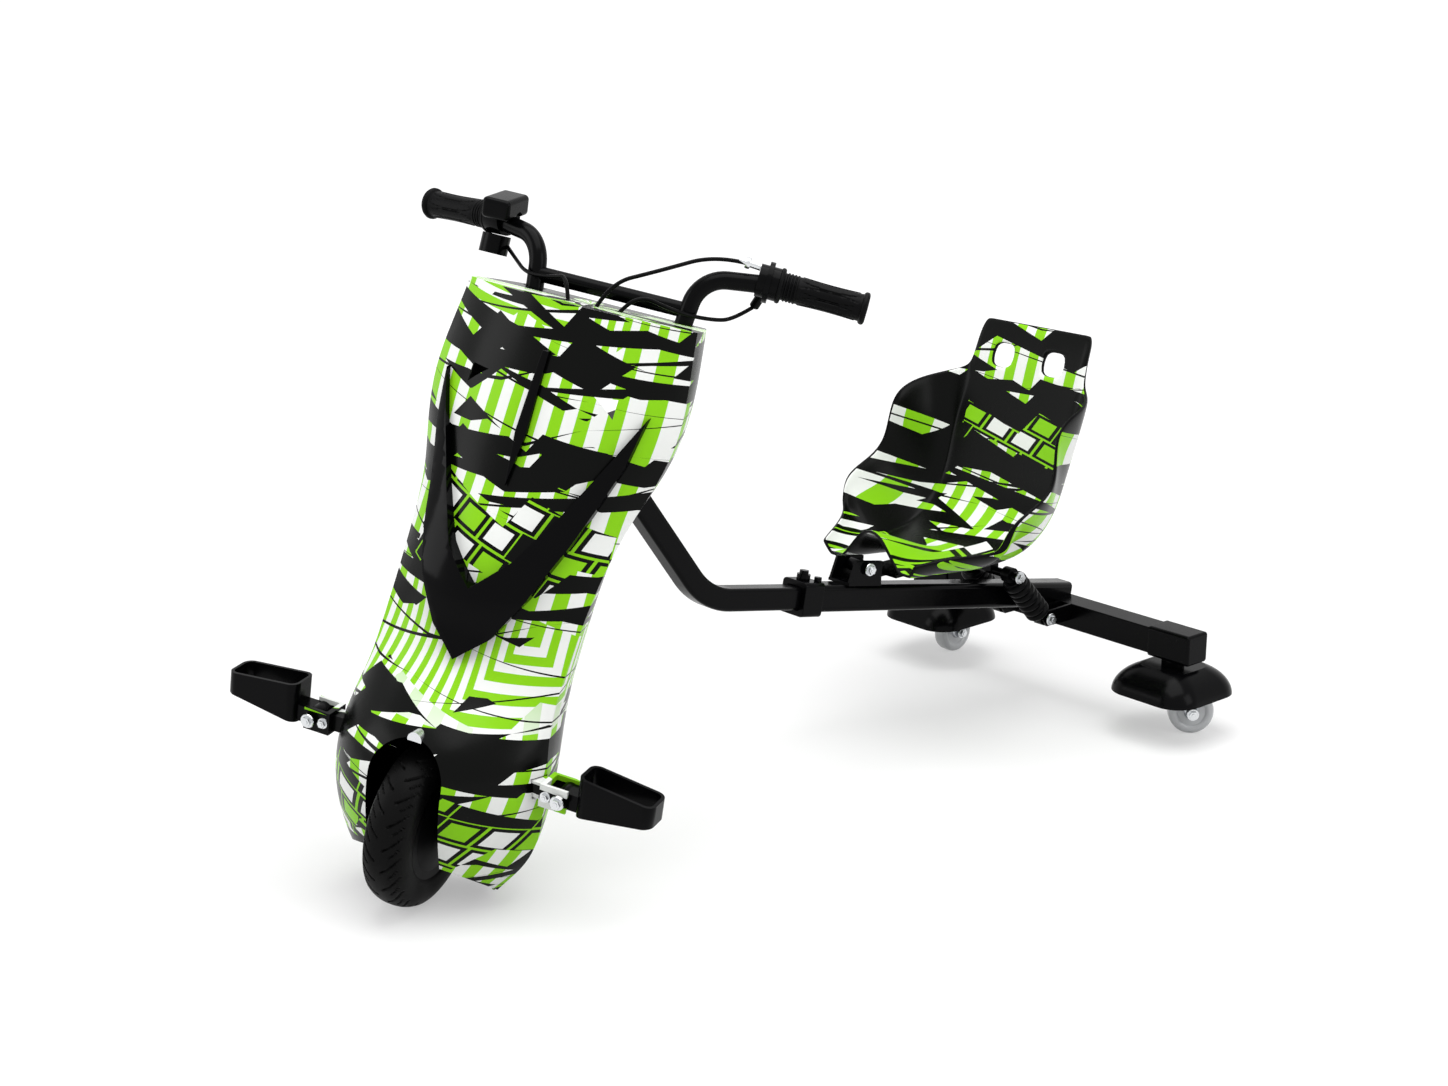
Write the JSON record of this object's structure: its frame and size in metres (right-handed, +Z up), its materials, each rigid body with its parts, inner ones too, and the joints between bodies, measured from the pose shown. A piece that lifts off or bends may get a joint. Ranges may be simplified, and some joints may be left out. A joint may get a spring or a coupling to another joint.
{
  "type": "electric drift trike",
  "caption": "Child's electric drift trike: one driven front wheel under a printed shell, raked steering, telescoping tube frame, bucket seat and two swivel casters.",
  "frame": {"origin": "centre of the footprint on the floor, under the middle of the bounding box", "axes": "+Z up; -Y towards the front of the trike along its frame tube; +X to the rider's left"},
  "size_m": [0.6504, 1.2788, 0.7772],
  "materials": {
    "printed_shell": "gloss printed",
    "black_steel": "gloss powder coat",
    "black_plastic": "gloss",
    "rubber": "matt moulded",
    "tyre_rubber": "matt",
    "hub_metal": "satin",
    "bright_steel": "zinc plated",
    "caster_urethane": "translucent",
    "battery_case": "matt",
    "cable_jacket": "satin"
  },
  "bodies": {
    "frame": {"rear_tube": "black_steel", "clamp_collar": "black_steel", "clamp_knob": "black_plastic", "rear_crossbar": "black_steel", "arm_cap_left": "black_plastic", "arm_cap_right": "black_plastic", "caster_stem_left": "black_steel", "caster_stem_right": "black_steel", "caster_cover_left": "black_plastic", "caster_cover_right": "black_plastic", "seat_bracket_front": "black_steel", "seat_carrier": "black_steel", "seat_shell": "printed_shell", "seat_damper_left": "rubber", "seat_damper_right": "rubber", "damper_bracket_left": "black_steel", "damper_bracket_right": "black_steel"},
    "front_tube": {"main_tube": "black_steel", "head_tube": "black_steel"},
    "steering": {"fork": "black_steel", "wheel_axle": "bright_steel", "battery_block": "battery_case", "front_shell": "printed_shell", "vee_trim": "black_plastic", "centre_spike": "black_plastic", "front_stud": "bright_steel", "handlebar": "black_steel", "grip_left": "rubber", "grip_right": "rubber", "control_left": "black_plastic", "control_right": "black_plastic", "switch_block": "black_plastic", "control_cables": "cable_jacket", "peg_bracket_left": "black_steel", "peg_bracket_right": "black_steel"},
    "front_wheel": {"front_tyre": "tyre_rubber", "hub_motor": "hub_metal"},
    "peg_left": {"peg_left": "black_steel"},
    "peg_right": {"peg_right": "black_steel"},
    "caster_fork_left": {"caster_fork_left": "bright_steel"},
    "caster_fork_right": {"caster_fork_right": "bright_steel"},
    "caster_wheel_left": {"caster_wheel_left": "caster_urethane"},
    "caster_wheel_right": {"caster_wheel_right": "caster_urethane"}
  },
  "joints": [
    {"name": "frame_telescope", "type": "slide", "parent": "frame", "child": "front_tube", "axis": [0, -0.9822, 0.1881], "range_m": [-0.06, 0.05]},
    {"name": "steering_turn", "type": "hinge", "parent": "front_tube", "child": "steering", "pos_m": [0.03224, -0.54857, 0.00028], "axis": [0, 0.342, 0.9397], "range_deg": [-65.8, 8.2]},
    {"name": "front_wheel_spin", "type": "hinge", "parent": "steering", "child": "front_wheel", "pos_m": [0.03966, -0.52678, 0.09962], "axis": [0.8763, 0.4527, -0.1648], "continuous": true},
    {"name": "peg_fold_left", "type": "hinge", "parent": "steering", "child": "peg_left", "pos_m": [0.18268, -0.42445, 0.14972], "axis": [0.4527, -0.8908, -0.0398], "range_deg": [0, 65]},
    {"name": "peg_fold_right", "type": "hinge", "parent": "steering", "child": "peg_right", "pos_m": [-0.10369, -0.57239, 0.20356], "axis": [-0.4527, 0.8908, 0.0398], "range_deg": [0, 65]},
    {"name": "caster_swivel_left", "type": "hinge", "parent": "frame", "child": "caster_fork_left", "pos_m": [0.25524, 0.56943, 0.06028], "axis": [0, 0, 1], "continuous": true},
    {"name": "caster_spin_left", "type": "hinge", "parent": "caster_fork_left", "child": "caster_wheel_left", "pos_m": [0.27342, 0.59072, 0.03178], "axis": [0.7604, -0.6494, 0], "continuous": true},
    {"name": "caster_swivel_right", "type": "hinge", "parent": "frame", "child": "caster_fork_right", "pos_m": [-0.19076, 0.56943, 0.06028], "axis": [0, 0, 1], "continuous": true},
    {"name": "caster_spin_right", "type": "hinge", "parent": "caster_fork_right", "child": "caster_wheel_right", "pos_m": [-0.19174, 0.59741, 0.03178], "axis": [0.9994, 0.0349, 0], "continuous": true}
  ]
}
